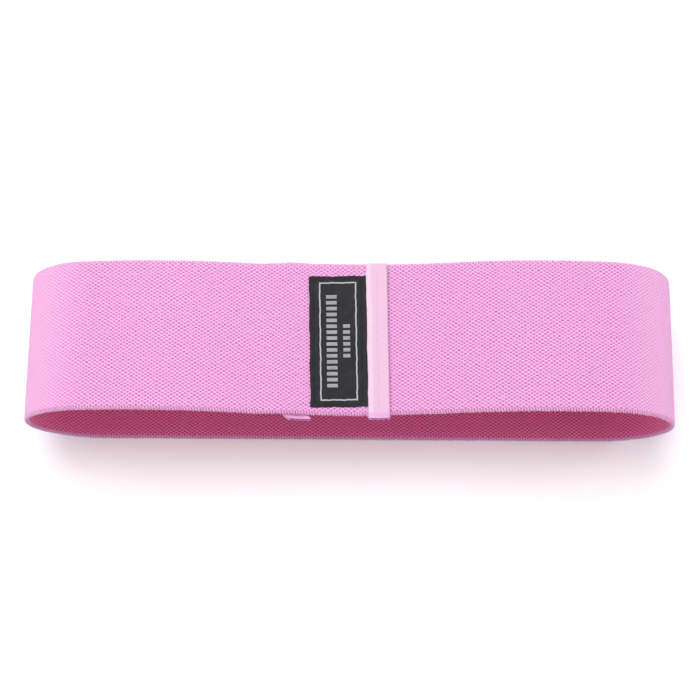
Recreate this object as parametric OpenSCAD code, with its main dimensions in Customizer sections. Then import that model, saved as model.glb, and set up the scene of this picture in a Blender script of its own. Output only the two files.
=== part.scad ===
// Looped fabric resistance band for hips and thighs.
// One strip of woven elastic webbing is closed into a loop with a lap joint.
// The band lies on its lower wall: X runs along the loop, Y across the webbing, Z is up.
// The origin is on the floor, under the middle of the band.
// Lengths are in millimetres and angles in degrees.

/* [Webbing] */
// Width of the webbing, from rim to rim
band_w = 80; // [60:1:100]
// Thickness of the webbing
band_t = 2.4; // [1.6:0.1:3.2]
// Distance between neighbouring rubber threads
rubber_pitch = 1.9; // [1.5:0.1:3]
// Side of a rubber thread, which is cut square
rubber_side = 0.9; // [0.5:0.1:1]
// Woven edge outside the last rubber thread, at least
selvage_w = 2; // [1.5:0.1:4]

/* [Loop] */
// Height of the upper wall over the lower wall at the dip, between their middles
rise = 67; // [50:1:90]
// Radius of the dip in the upper wall
dip_r = 255; // [200:5:320]
// Angle that the dip climbs through on its right side
dip_turn_right = 12.4; // [9:0.1:15]
// Angle that the dip climbs through on its left side
dip_turn_left = 11; // [9:0.1:15]
// Radius of the crest on the right
crest_r_right = 262; // [200:2:320]
// Radius of the crest on the left
crest_r_left = 290; // [200:2:350]
// Angle that the right crest falls through before its end bend
crest_fall_right = 6; // [2:0.1:10]
// Angle that the left crest falls through before its end bend
crest_fall_left = 7.4; // [2:0.1:10]
// Radius of the upper half of the right end bend
end_r_right = 43.5; // [35:0.5:55]
// Radius of the upper half of the left end bend
end_r_left = 40.5; // [33:0.5:50]
// Angle turned by the upper half of the right end bend
end_turn_right = 78; // [50:1:78]
// Angle turned by the upper half of the left end bend
end_turn_left = 49; // [40:1:70]

/* [Lap joint] */
// Webbing left bare between the label and the seam beside it
bare_l = 7.4; // [3:0.1:20]
// Place of the middle of the lap, measured from the middle of the dip
lap_middle = -7; // [-10:0.5:0]
// Length of the slope where the outer ply climbs onto the inner one
slope_l = 14; // [10:1:20]
// Width of the binding tape that shows on one face
binding_w = 11; // [8:0.5:14]
// Thickness of the binding tape
binding_t = 0.5; // [0.3:0.1:0.8]
// Length of binding tape that stands past each rim
binding_over = 1.5; // [0.5:0.1:3]
// Air between a binding and the ply that lies on it
ply_air = 0.1; // [0.05:0.05:0.3]

/* [Stitching] */
// Diameter of the seam thread
seam_thread_d = 0.36; // [0.2:0.02:0.5]
// Number of rubber threads that a stitch passes over or under
stitch_threads = 2; // [1:1:3]
// Distance from a bound end to its seam
seam_inset = 5.5; // [4:0.1:7]
// Diameter of the label thread
label_thread_d = 0.3; // [0.2:0.02:0.5]
// Distance from the long edge of the label to its stitching
label_stitch_inset = 2.5; // [1.5:0.1:4]
// Distance from the end of the label to its stitching, at least
label_end_inset = 1.4; // [1:0.1:3]

/* [Label] */
// Width of the label, along the loop
label_w = 31; // [25:0.5:40]
// Thickness of the label
label_t = 0.6; // [0.4:0.1:1]
// Webbing left bare between the end of the label and the rim
label_margin = 5.3; // [3:0.1:12]
// How far the label lies off the middle towards the near rim, in rubber threads
label_shift = 1; // [0:1:2]
// Distance from the stitching to the long side of the white border
border_gap_w = 2.9; // [1:0.1:4]
// Distance from the stitching to the end of the white border
border_gap_l = 1.85; // [1:0.05:4]
// Width of the white border line
border_line = 0.7; // [0.5:0.1:1.5]
// Height of the white weave over the label
white_t = 0.15; // [0.1:0.05:0.3]
// Distance from one block of a row to the next
mark_step = 3.14; // [2.5:0.01:5]
// Length of a block
mark_l = 1.88; // [1:0.01:2.3]
// Bare label between the border line and a row of blocks beside it
row_inset = 2.96; // [1:0.01:3.5]
// Bare label between the two rows
row_gap = 3.07; // [1:0.01:4]
// Bare label past each end of the long row, at least
long_row_room = 5; // [2:0.5:20]
// Bare label past each end of the short row, at least
short_row_room = 21; // [10:0.5:25]

/* [Hidden] */

// Part of the room for blocks that the long row takes
long_share = 0.6;
// Clearance of a thread in its needle hole, and how much the pull thins it there
hole_air = 0.04;
pull_in = 0.06;
// Room between the folded inner end and the top of the slope
slope_clear = 1;
// How far a cut reaches past the face that it cuts
past = 1;
// Sides of a round thread or needle hole
thread_sides = 24;
// Furthest that a flat facet lies inside the true curve of a bend
facet_depth = 0.2;

// ---------- the loop's path ----------
// The path is the middle of the webbing. It runs along the upper wall to the right, round
// the right end, along the floor, round the left end and back, and it starts where the
// left crest meets the dip. Distances along it are counted from the middle of the dip.
// A stretch is [radius, turn] or [length, 0], and a turn to the left is positive.
// A pose on the path is [x, z, heading].
function stretch_l(g) = g[1] == 0 ? g[0] : g[0] * abs(g[1]) * PI / 180;
function turned(p, side, turn) =
    let (h = p[2] + turn)
    [p[0] - side * sin(p[2]) + side * sin(h), p[1] + side * cos(p[2]) - side * cos(h), h];
// The pose at distance d along stretch g, which starts at pose p
function pose_on(p, g, d) =
    g[1] == 0
        ? [p[0] + d * cos(p[2]), p[1] + d * sin(p[2]), p[2]]
        : turned(p, sign(g[1]) * g[0], g[1] * d / stretch_l(g));
function poses_from(p, gs, i = 0) =
    i == len(gs) ? [p] : concat([p], poses_from(pose_on(p, gs[i], stretch_l(gs[i])), gs, i + 1));
function walk(p, gs) = poses_from(p, gs)[len(gs)];

// One side of the loop, from the middle of the dip round the end bend to the floor. The
// lower half of the bend has the radius that brings it down to the floor.
function upper_side(dip, crest_r, fall, end_r, end_turn) =
    [[dip_r, dip], [crest_r, -dip - fall], [end_r, -end_turn]];
function low_bend(side) =
    let (p = walk([0, rise, 0], side))
    [p[1] / (1 + cos(p[2])), -180 - p[2]];
function whole_side(side) = concat(side, [low_bend(side)]);

right_side = whole_side(upper_side(
    dip_turn_right, crest_r_right, crest_fall_right, end_r_right, end_turn_right));
left_side = whole_side(upper_side(
    dip_turn_left, crest_r_left, crest_fall_left, end_r_left, end_turn_left));
right_floor_x = walk([0, rise, 0], right_side)[0];
left_floor_x = walk([0, rise, 0], left_side)[0];
stretches = [
    [dip_r, dip_turn_left + dip_turn_right],
    right_side[1],
    right_side[2],
    right_side[3],
    [right_floor_x + left_floor_x, 0],
    left_side[3],
    left_side[2],
    left_side[1]
];

// The middle of the band, end to end, is at X = 0
reach_right = right_floor_x + right_side[3][0];
reach_left = left_floor_x + left_side[3][0];
dip_middle = [(reach_left - reach_right) / 2, rise + band_t / 2, 0];
poses = poses_from(turned(dip_middle, dip_r, -dip_turn_left), stretches);
starts = [for (
    i = 0, s = -stretch_l([dip_r, dip_turn_left]);
    i < len(stretches);
    s = s + stretch_l(stretches[i]), i = i + 1
) s];
loop_l = starts[len(stretches) - 1] + stretch_l(stretches[len(stretches) - 1]) - starts[0];

// The pose at distance s along the path
function around(s) = s >= starts[0] + loop_l ? s - loop_l : s;
function stretch_at(s, i = 0) =
    i == len(stretches) - 1 || s < starts[i + 1] ? i : stretch_at(s, i + 1);
function pose_at(s) =
    let (i = stretch_at(around(s)))
    pose_on(poses[i], stretches[i], around(s) - starts[i]);

// ---------- where things lie ----------
ply_gap = binding_t + ply_air;
outer_n = band_t + ply_gap;
face_n = outer_n + band_t / 2;
back_n = -band_t / 2;
lap_l = seam_inset + bare_l + label_w + ply_air + binding_w;
outer_end = lap_middle + lap_l / 2;
inner_end = lap_middle - lap_l / 2;
slope_top = inner_end - binding_t - slope_clear;
slope_foot = slope_top - slope_l;

rubber_steps = floor((band_w / 2 - selvage_w) / rubber_pitch);

outer_seam_s = outer_end - seam_inset;
inner_seam_s = inner_end + seam_inset;
stitch_l = stitch_threads * rubber_pitch;

// The needle always goes down between two rubber threads. These are the rows of its holes
// across the band, as far out as reach on both sides. The last stitch may be shorter.
function gap_rows(reach) =
    let (last = floor(reach / rubber_pitch - 0.5) + 0.5)
    let (stitches = floor(2 * last / stitch_threads))
    concat(
        [for (i = [0:stitches]) (i * stitch_threads - last) * rubber_pitch],
        stitches * stitch_threads < 2 * last ? [last * rubber_pitch] : []
    );
seam_rows = gap_rows(band_w / 2 - selvage_w);

label_right = outer_end - binding_w - ply_air;
label_left = label_right - label_w;
label_l = band_w - 2 * label_margin;
label_n = face_n + label_t;
label_y = -label_shift * rubber_pitch;
sewn_s0 = label_left + label_stitch_inset;
sewn_s1 = label_right - label_stitch_inset;
sewn_steps = round((sewn_s1 - sewn_s0) / stitch_l);
sewn_rows = gap_rows(label_l / 2 - label_end_inset);
sewn_y = sewn_rows[len(sewn_rows) - 1];

// The border keeps its distance from the stitching, and two rows of plain blocks fill it
border_s0 = sewn_s0 + border_gap_w;
border_s1 = sewn_s1 - border_gap_w;
border_y = sewn_y - border_gap_l;
mark_room = border_s1 - border_s0 - 2 * border_line - 2 * row_inset - row_gap;
long_mark_w = mark_room * long_share;
short_mark_w = mark_room - long_mark_w;
long_row_s = border_s0 + border_line + row_inset;
short_row_s = long_row_s + long_mark_w + row_gap;
function marks_in(room) =
    floor((2 * (border_y - border_line - room) + mark_step - mark_l) / mark_step);

// ---------- bending along the path ----------
// Everything that follows the path turns at the same few places and is straight between
// them, so that pieces lie flat on each other
function facets(g) = g[1] == 0 ? 1 : ceil(abs(g[1]) / 2 / acos(1 - facet_depth / g[0]));
turns = [for (i = [0:len(stretches) - 1], j = [0:facets(stretches[i]) - 1])
    starts[i] + j * stretch_l(stretches[i]) / facets(stretches[i])];
// A place by the path: s is the distance along it, and n the distance outwards from it
function exact(s, n) = let (p = pose_at(s)) [p[0] - n * sin(p[2]), p[1] + n * cos(p[2])];
function turn_at(s, i = 0) = i == len(turns) - 1 || s < turns[i + 1] ? i : turn_at(s, i + 1);
function place(s, n) =
    let (i = turn_at(around(s)))
    let (from_s = turns[i], to_s = i == len(turns) - 1 ? starts[0] + loop_l : turns[i + 1])
    let (share = (around(s) - from_s) / (to_s - from_s))
    (1 - share) * exact(from_s, n) + share * exact(to_s, n);
function stations(from_s, to_s) = concat(
    [from_s],
    [for (lap = [0, loop_l], s = turns) if (s + lap > from_s && s + lap < to_s) s + lap],
    [to_s]
);
function back(list) = [for (i = [len(list) - 1:-1:0]) list[i]];

// Stands an outline drawn in X and Z up, from y0 to y1
module upright(y0, y1) {
    translate([0, y1, 0])
        rotate([90, 0, 0])
            linear_extrude(y1 - y0)
                children();
}

// A bar along the path, between depths n0 and n1
module bar(from_s, to_s, n0, n1, y0, y1) {
    path = stations(from_s, to_s);
    upright(y0, y1)
        polygon(concat([for (s = path) place(s, n0)], [for (s = back(path)) place(s, n1)]));
}

// The whole strip, from its inner end, once round, up the slope and to its outer end
function strip_side(n) = concat(
    [for (s = stations(inner_end, loop_l + slope_foot)) place(s, n)],
    [for (s = stations(loop_l + slope_top, loop_l + outer_end)) place(s, outer_n + n)]
);
module strip(n0, n1, y0, y1) {
    upright(y0, y1)
        polygon(concat(strip_side(n0), back(strip_side(n1))));
}

module rubber_rows() {
    for (k = [-rubber_steps:rubber_steps])
        strip(
            -rubber_side / 2,
            rubber_side / 2,
            k * rubber_pitch - rubber_side / 2,
            k * rubber_pitch + rubber_side / 2
        );
}

// ---------- stitching ----------
// A needle hole or a thread's leg at [s, y], between two depths
module leg(at, n0, n1, d) {
    foot = place(at[0], n0);
    translate([foot[0], at[1], foot[1]])
        rotate([0, -pose_at(at[0])[2], 0])
            cylinder(d = d, h = n1 - n0, $fn = thread_sides);
}

// A thread that lies across the band, from one hole to another
module run_across(s, n, y0, y1, d) {
    middle = place(s, n);
    translate([middle[0], y0 - d / 2, middle[1]])
        rotate([-90, 0, 0])
            cylinder(d = d, h = y1 - y0 + d, $fn = thread_sides);
}

function seam_holes(s) = [for (y = seam_rows) [s, y]];
function label_holes() = concat(
    [for (s = [sewn_s0, sewn_s1], y = sewn_rows) [s, label_y + y]],
    [for (y = [-sewn_y, sewn_y], j = [1:sewn_steps - 1])
        [sewn_s0 + j * (sewn_s1 - sewn_s0) / sewn_steps, label_y + y]]
);

// Every hole that the needle makes, through whatever lies in its way
module needle_holes() {
    low = back_n - binding_t - past;
    for (h = concat(seam_holes(outer_seam_s), seam_holes(inner_seam_s)))
        leg(h, low, face_n + binding_t + past, seam_thread_d - pull_in + hole_air);
    for (h = label_holes())
        leg(h, low, label_n + past, label_thread_d - pull_in + hole_air);
}

// One thread of a seam: its run lies on the face at depth n, and its legs meet the other
// thread half way through
module seam_thread(s, n, side) {
    d = seam_thread_d;
    half_way = (face_n + back_n) / 2;
    run_n = n + side * d / 2;
    run_across(s, run_n, seam_rows[0], seam_rows[len(seam_rows) - 1], d);
    for (h = seam_holes(s))
        leg(h, min(half_way, run_n), max(half_way, run_n), d - pull_in);
}

module label_thread(n, side) {
    r = label_thread_d / 2;
    half_way = (face_n + back_n) / 2;
    run_n = n + side * r;
    y0 = label_y - sewn_y;
    y1 = label_y + sewn_y;
    for (s = [sewn_s0, sewn_s1])
        bar(s - r, s + r, run_n - r, run_n + r, y0 - r, y1 + r);
    for (y = [y0, y1])
        bar(sewn_s0, sewn_s1, run_n - r, run_n + r, y - r, y + r);
    for (h = label_holes())
        leg(h, min(half_way, run_n), max(half_way, run_n), label_thread_d - pull_in);
}

// ---------- bindings ----------
// A tape folded over an end of the webbing. end_s is the end, and to_s is the edge of the tape.
module binding(end_s, to_s, n0, n1) {
    y = band_w / 2 + binding_over;
    fold_s = end_s + sign(end_s - to_s) * binding_t;
    difference() {
        bar(min(fold_s, to_s), max(fold_s, to_s), n0 - binding_t, n1 + binding_t, -y, y);
        bar(min(end_s, to_s - past), max(end_s, to_s + past), n0, n1, -y - past, y + past);
        needle_holes();
    }
}

// ---------- pieces ----------
module webbing() {
    color("hotpink")
        difference() {
            strip(-band_t / 2, band_t / 2, -band_w / 2, band_w / 2);
            rubber_rows();
            needle_holes();
        }
}

module rubber_threads() {
    color("white")
        rubber_rows();
}

module outer_binding() {
    color("pink")
        binding(outer_end, outer_end - binding_w, outer_n - band_t / 2, face_n);
}

module inner_binding() {
    color("pink")
        binding(inner_end, inner_end + binding_w, back_n, -back_n);
}

module outer_seam_needle_thread() {
    color("violet")
        seam_thread(outer_seam_s, face_n + binding_t, 1);
}

module outer_seam_bobbin_thread() {
    color("violet")
        seam_thread(outer_seam_s, back_n, -1);
}

module inner_seam_needle_thread() {
    color("palevioletred")
        seam_thread(inner_seam_s, face_n, 1);
}

module inner_seam_bobbin_thread() {
    color("palevioletred")
        seam_thread(inner_seam_s, back_n - binding_t, -1);
}

module label() {
    color("dimgray")
        difference() {
            bar(label_left, label_right, face_n, label_n, label_y - label_l / 2, label_y + label_l / 2);
            needle_holes();
        }
}

module label_border() {
    inner_s0 = border_s0 + border_line;
    inner_s1 = border_s1 - border_line;
    inner_y = border_y - border_line;
    color("white")
        difference() {
            bar(
                border_s0,
                border_s1,
                label_n,
                label_n + white_t,
                label_y - border_y,
                label_y + border_y
            );
            bar(
                inner_s0,
                inner_s1,
                label_n - past,
                label_n + past,
                label_y - inner_y,
                label_y + inner_y
            );
        }
}

// A row of equal blocks across the band, with its left side at s
module mark_row(s, mark_w, marks) {
    for (i = [0:marks - 1]) {
        y = label_y + (i - (marks - 1) / 2) * mark_step;
        bar(s, s + mark_w, label_n, label_n + white_t, y - mark_l / 2, y + mark_l / 2);
    }
}

module label_marks() {
    color("white") {
        mark_row(long_row_s, long_mark_w, marks_in(long_row_room));
        mark_row(short_row_s, short_mark_w, marks_in(short_row_room));
    }
}

module label_needle_thread() {
    color("black")
        label_thread(label_n, 1);
}

module label_bobbin_thread() {
    color("black")
        label_thread(back_n, -1);
}

webbing();
rubber_threads();
outer_binding();
inner_binding();
outer_seam_needle_thread();
outer_seam_bobbin_thread();
inner_seam_needle_thread();
inner_seam_bobbin_thread();
label();
label_border();
label_marks();
label_needle_thread();
label_bobbin_thread();
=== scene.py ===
"""Looped fabric resistance band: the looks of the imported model.

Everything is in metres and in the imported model's own frame: X runs along the loop, Y across
the webbing, Z is up, and the origin is on the floor under the middle of the band.
"""
import math
from collections import namedtuple

import bpy
import numpy as np
from bpy.props import FloatProperty, FloatVectorProperty, IntProperty, PointerProperty
from mathutils import Matrix, Vector


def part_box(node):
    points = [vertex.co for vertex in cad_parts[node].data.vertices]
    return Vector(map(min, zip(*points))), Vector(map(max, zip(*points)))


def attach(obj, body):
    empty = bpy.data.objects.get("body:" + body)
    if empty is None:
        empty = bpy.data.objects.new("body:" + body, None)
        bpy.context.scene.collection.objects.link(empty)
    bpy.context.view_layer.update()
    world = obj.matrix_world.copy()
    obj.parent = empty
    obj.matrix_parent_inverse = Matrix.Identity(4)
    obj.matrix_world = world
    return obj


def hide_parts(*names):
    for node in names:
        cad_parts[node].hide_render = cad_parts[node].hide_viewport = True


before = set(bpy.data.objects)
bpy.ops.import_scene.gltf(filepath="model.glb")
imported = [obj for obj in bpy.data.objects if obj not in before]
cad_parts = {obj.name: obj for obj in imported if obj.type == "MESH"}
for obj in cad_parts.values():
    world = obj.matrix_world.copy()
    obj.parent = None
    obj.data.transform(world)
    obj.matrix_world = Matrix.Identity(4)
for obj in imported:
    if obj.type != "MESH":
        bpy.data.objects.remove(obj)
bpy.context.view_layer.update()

bl_info = {
    "name": "Fabric Resistance Band",
    "version": (1, 0, 0),
    "blender": (4, 5, 0),
    "location": "View3D > Sidebar > Band",
    "description": "Builds a looped fabric resistance band piece by piece",
    "category": "Add Mesh",
}

BODY = "root"
# Share of the width of the label's two rows that the long row takes
LONG_SHARE = 0.6
# Length of each end of the strip over which it turns from square to askew
SLANT_REACH = 0.030
# Step over which the direction outward is measured
PROBE = 1e-4

# How a tape's ends leave the rims. See build_tape.
TapeEnds = namedtuple("TapeEnds", "loose far lean flare corner")
OUTER_ENDS = TapeEnds(loose=0.0018, far=0.0004, lean=0, flare=0.0002, corner=0.0010)
INNER_ENDS = TapeEnds(loose=0.0033, far=0, lean=0.0019, flare=0.0038, corner=0.0022)

# A tape: how far it wavers, bulges, lifts off at its near end and rumples there, how far in
# from the rim it starts to lift, and the half width of the groove along its seam
TAPE_WAVER, TAPE_CROWN, TAPE_LIFT, RUMPLE_DEPTH = 0.00012, 0.00012, 0.0005, 0.00022
TAPE_LIFT_FROM, GROOVE_REACH = 0.002, 0.0009
# The label's face: how far it bulges, is pulled down by its stitches and ripples, and how
# far in from its edge each of these reaches
LABEL_BULGE, LABEL_PULL, LABEL_WAVE = 0.00025, 0.00018, 0.00010
BULGE_REACH, PULL_REACH, WAVE_REACH = 0.010, 0.0008, 0.004
# How far the label's long edges and its ends waver, and the yarns of its border
LABEL_EDGE_WAVER, LABEL_END_WAVER, BORDER_WAVER = 0.00013, 0.00012, 0.00009
# Depth of a stitch's ends in what it is sewn through
SEAM_BITE, LABEL_BITE = 0.0006, 0.0005
# Inner gap of a tape's fold, and the label's room over the webbing
FOLD_GAP, LABEL_GAP = 0.0001, 0.00002
# Pitches of the fine ribs: along and across a tape, and on the label
TAPE_RIB, TAPE_CROSS_RIB, LABEL_RIB = 0.0006, 0.0009, 0.00042
# Distance from the middle at which the weave starts to pale, and is palest
END_FROM, END_TO = 0.135, 0.176
# Points of a tape along a leg, over its fold, round a corner and across the band
LEG_POINTS, FOLD_POINTS, CORNER_POINTS, TAPE_POINTS = 17, 9, 8, 85
# Points of the label and of its border, each along the band's width and along the loop
LABEL_POINTS, BORDER_POINTS = (141, 61), (96, 28)
# Points of a rubber thread, of a stitch and of a yarn in a block
RUBBER_POINTS, STITCH_POINTS, MARK_POINTS = 160, 7, 5
# Sides of each kind of thread
RUBBER_SIDES, SELVAGE_SIDES, FIGURE_SIDES, SEWING_SIDES = 4, 5, 6, 8
# Unsteady curves: a seed, then a wavelength and its share for each wave
TAPE_EDGE = (31, (0.031, 1.0), (0.0123, 0.6), (0.0057, 0.35))
TAPE_RUMPLE = (4, (0.009, 1.0), (0.004, 0.5))
LABEL_RIPPLE = (3, (0.021, 1.0), (0.0088, 0.5))
LABEL_LEFT = (8, (0.024, 1.0), (0.0101, 0.7), (0.0043, 0.4))
LABEL_RIGHT = (9, (0.029, 1.0), (0.0093, 0.7), (0.0047, 0.4))
LABEL_ENDS = (12, (0.017, 1.0), (0.0071, 0.7))
BORDER_SIDE = (31, (0.013, 1.0), (0.0051, 0.8))
BORDER_END = (32, (0.009, 1.0), (0.004, 0.8))
# Seeds of what is drawn at random
WEAVE_SEED = 11
SELVAGE_SEEDS = {"near_selvage": 5, "far_selvage": 6}
BLOCK_SEED = 17

CAMERA_TARGET = (-0.0004, -0.00574, 0.0693)
CAMERA_DISTANCE = 0.72
CAMERA_ELEVATION = 74.5
CAMERA_ROLL = 0.49
CAMERA_LENS = 69.6
CAMERA_SENSOR = 36
# Strength of the sky as light, and as the camera sees it
SKY_LIGHT = 0.245
SKY_SEEN = 0.9
SKY_TINT = (1.0, 0.995, 1.0)
# Light that the floor gives off, which keeps it pale
FLOOR_GLOW = 0.12
FLOOR_HALF_SIDE = 1.6
FLOOR_STEPS = 32
# The floor lies this low to clear the relief under the lower wall
FLOOR_Z = -0.0003
# Area lights: name, place, target, size, power and tint
LIGHTS = (
    ("top", (-0.25, 0.45, 1.60), (0, 0, 0.03), 1.3, 27.5, (1.0, 0.995, 0.99)),
    ("front", (-0.5, -0.9, 1.1), (0, 0, 0.05), 0.8, 3.0, (1.0, 0.99, 1.0)),
    ("right", (1.3, 0.1, 0.6), (0.1, 0, 0.04), 0.8, 6.0, (1.0, 0.99, 1.0)),
    ("left", (-1.3, 0.1, 0.6), (-0.1, 0, 0.04), 0.8, 2.5, (1.0, 0.99, 1.0)),
)
# The colour sockets of a mix node, which has one set of sockets for each kind of value
MIX_A, MIX_B, MIX_OUT = 6, 7, 2


# ---------- what the user can set ----------
def length(name, description, default):
    return FloatProperty(
        name=name, description=description, default=default, unit="LENGTH", precision=5)


def angle(name, description, degrees):
    return FloatProperty(
        name=name, description=description, default=math.radians(degrees),
        subtype="ANGLE", unit="ROTATION")


def colour(name, description, default):
    return FloatVectorProperty(
        name=name, description=description, default=default, subtype="COLOR", size=3,
        min=0, max=1)


class BandLoopSizes(bpy.types.PropertyGroup):
    """The line that the webbing follows."""

    rise: length("Rise", "Height of the upper wall over the lower one at the dip", 0.067)
    dip_radius: length("Dip radius", "Radius of the dip in the upper wall", 0.255)
    dip_right: angle("Dip, right", "Angle the dip climbs through on its right", 12.4)
    dip_left: angle("Dip, left", "Angle the dip climbs through on its left", 11)
    crest_right: length("Right crest radius", "Radius of the crest on the right", 0.262)
    crest_left: length("Left crest radius", "Radius of the crest on the left", 0.290)
    fall_right: angle("Right crest fall", "Angle the right crest falls through", 6)
    fall_left: angle("Left crest fall", "Angle the left crest falls through", 7.4)
    end_right: length("Right bend radius", "Radius of the right bend's upper half", 0.0435)
    end_left: length("Left bend radius", "Radius of the left bend's upper half", 0.0405)
    turn_right: angle("Right bend turn", "Angle of the right bend's upper half", 78)
    turn_left: angle("Left bend turn", "Angle of the left bend's upper half", 49)
    near_drop: length("Near edge drop", "How far the near edge of the upper wall sags", 0.0027)
    skew: length("Skew", "How much more the near edge sags at the right end", 0.0009)
    middle_drop: length("Middle drop", "Extra sag of the near edge in the middle", 0.0028)
    middle_reach: length("Middle reach", "Half width of the extra sag", 0.070)


class BandFabricSizes(bpy.types.PropertyGroup):
    """The webbing, its lap joint and what is sewn on it."""

    width: length("Width", "Width of the webbing", 0.080)
    thickness: length("Thickness", "Thickness of the webbing", 0.0024)
    selvage: length("Selvage", "Woven edge outside the ribs", 0.002)
    rib: length("Rib pitch", "Distance between neighbouring rubber threads", 0.0019)
    column: length("Column pitch", "Distance between neighbouring columns of the weave", 0.0015)
    relief: length("Relief", "Depth of the weave's hollows", 0.00026)
    rubber: length("Rubber thread", "Side of a rubber thread", 0.0009)
    lap_middle: length("Lap middle", "Middle of the lap, from the middle of the dip", -0.007)
    bare: length("Bare webbing", "Bare webbing between the label and the inner seam", 0.0074)
    slope: length("Slope", "Length over which the outer ply climbs", 0.014)
    slope_clear: length("Slope room", "Room between the inner end and the slope", 0.001)
    tape: length("Tape width", "Width of binding tape that shows on a face", 0.011)
    tape_thickness: length("Tape thickness", "Thickness of the binding tape", 0.0005)
    tape_over: length("Tape over", "Length of tape past each rim", 0.0015)
    groove: length("Seam groove", "Depth that a seam pulls into its tape", 0.00018)
    ply_air: length("Ply air", "Air between a binding and the ply on it", 0.0001)
    seam_inset: length("Seam inset", "Distance from a bound end to its seam", 0.0055)
    seam_thread: length("Seam thread", "Diameter of the seam thread", 0.00036)
    label_thread: length("Label thread", "Diameter of the label thread", 0.0003)
    label_inset: length("Label stitch inset", "Distance from label edge to stitches", 0.0025)
    label_width: length("Label width", "Width of the label along the loop", 0.031)
    label_thickness: length("Label thickness", "Thickness of the label", 0.0006)
    label_margin: length("Label margin", "Bare webbing between label and rim", 0.0053)
    label_end_inset: length("Label end inset", "Least distance from label end to stitches", 0.0014)
    border_gap_width: length("Border gap", "Stitches to the border's long side", 0.0029)
    border_gap_length: length("Border end gap", "Stitches to the border's end", 0.00185)
    border_line: length("Border line", "Width of the white border line", 0.0007)
    mark_step: length("Block step", "Distance from one block to the next", 0.00314)
    mark_length: length("Block length", "Length of a block", 0.00188)
    row_inset: length("Row inset", "Bare label between the border and a row", 0.00296)
    row_gap: length("Row gap", "Bare label between the two rows", 0.00307)
    long_row_room: length("Long row room", "Bare label past each end of the long row", 0.005)
    short_row_room: length("Short row room", "Bare label past each end of the short row", 0.021)
    offset: length("End offset", "How far the strip's two ends lie off line, each", 0.0006)
    joint_slant: FloatProperty(
        name="Joint slant", description="Slant of the outer end and label", default=-0.0254)
    inner_slant: FloatProperty(
        name="Inner slant", description="Slant of the inner end and its seam", default=0.016)
    label_tilt: FloatProperty(
        name="Label tilt", description="How far the label's ends run off square", default=0.026)
    label_shift: IntProperty(
        name="Label shift", description="Ribs the label lies off the middle", default=1)
    stitch_ribs: IntProperty(
        name="Ribs a stitch", description="Ribs that a stitch passes over", default=2)


class BandColours(bpy.types.PropertyGroup):
    """Colours of the yarns and threads."""

    # light, mid and dark are the weave's own tones; light also holds painted highlight on the
    # float tops, and mid and dark hold painted shade on the flanks and in the hollows
    light: colour("Light yarn", "Yarn that lies on top", (0.80, 0.46, 0.76))
    mid: colour("Middle yarn", "Yarn on the flanks", (0.69, 0.28, 0.58))
    dark: colour("Hollows", "Ground that shows in the hollows", (0.37, 0.045, 0.16))
    # Paler yarn where the loop bends: partly the opened weave, partly painted highlight
    end_stretch_and_highlight: colour("Light yarn at the ends", "Where the loop bends and the weave opens",
                      (0.95, 0.52, 0.80))
    # The inside face's colours: the same yarns made darker and redder as painted shade and painted
    # light bounced off the pink cloth
    shaded_inside_light: colour("Light yarn inside", "As the light yarn, on the inside",
                         (0.92, 0.29, 0.53))
    shaded_inside_mid: colour("Middle yarn inside", "As the middle yarn, on the inside",
                       (0.72, 0.125, 0.31))
    selvage: colour("Selvage yarn", "Yarn that turns round the rims", (0.90, 0.60, 0.80))
    # Ground between the selvage yarns, darkened partly as painted shade, most at the near rim
    rim: colour("Rim ground", "Ground between the selvage yarns", (0.56, 0.12, 0.33))
    tape: colour("Tape", "Binding tape", (0.72, 0.45, 0.64))
    # Darker than the tape, as painted shade on the inner end
    inner_tape: colour("Inner tape", "Binding tape of the inner end", (0.72, 0.34, 0.54))
    thread: colour("Seam thread", "Thread of the two seams", (0.80, 0.40, 0.63))
    label: colour("Label", "Label ground", (0.009, 0.0088, 0.0115))
    label_light: colour("Label wear", "Lighter yarn in the label", (0.024, 0.0235, 0.028))
    white: colour("Figure yarn", "White yarn of the label", (0.62, 0.615, 0.64))
    black: colour("Label thread", "Thread round the label", (0.006, 0.006, 0.008))
    rubber: colour("Rubber", "Rubber threads", (0.70, 0.64, 0.52))
    floor: colour("Floor", "Floor", (0.92, 0.915, 0.92))


# ---------- the loop's line ----------
def sign(x):
    return -1 if x < 0 else 1


def eased(share):
    """A share from 0 to 1 that starts and stops gently."""
    share = np.clip(share, 0, 1)
    return share * share * (3 - 2 * share)


def stretch_length(stretch):
    """A stretch is (radius, turn), or (length, 0) where it is straight."""
    radius, turn = stretch
    return radius if turn == 0 else radius * abs(turn)


def turned(pose, side, turn):
    x, z, heading = pose
    after = heading + turn
    return (
        x - side * math.sin(heading) + side * math.sin(after),
        z + side * math.cos(heading) - side * math.cos(after),
        after,
    )


def pose_on(pose, stretch, distance):
    """The pose at a distance along a stretch that starts at pose."""
    radius, turn = stretch
    if turn == 0:
        x, z, heading = pose
        return (x + distance * math.cos(heading), z + distance * math.sin(heading), heading)
    return turned(pose, sign(turn) * radius, turn * distance / stretch_length(stretch))


def walked(pose, stretches):
    poses = [pose]
    for stretch in stretches:
        poses.append(pose_on(poses[-1], stretch, stretch_length(stretch)))
    return poses


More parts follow.
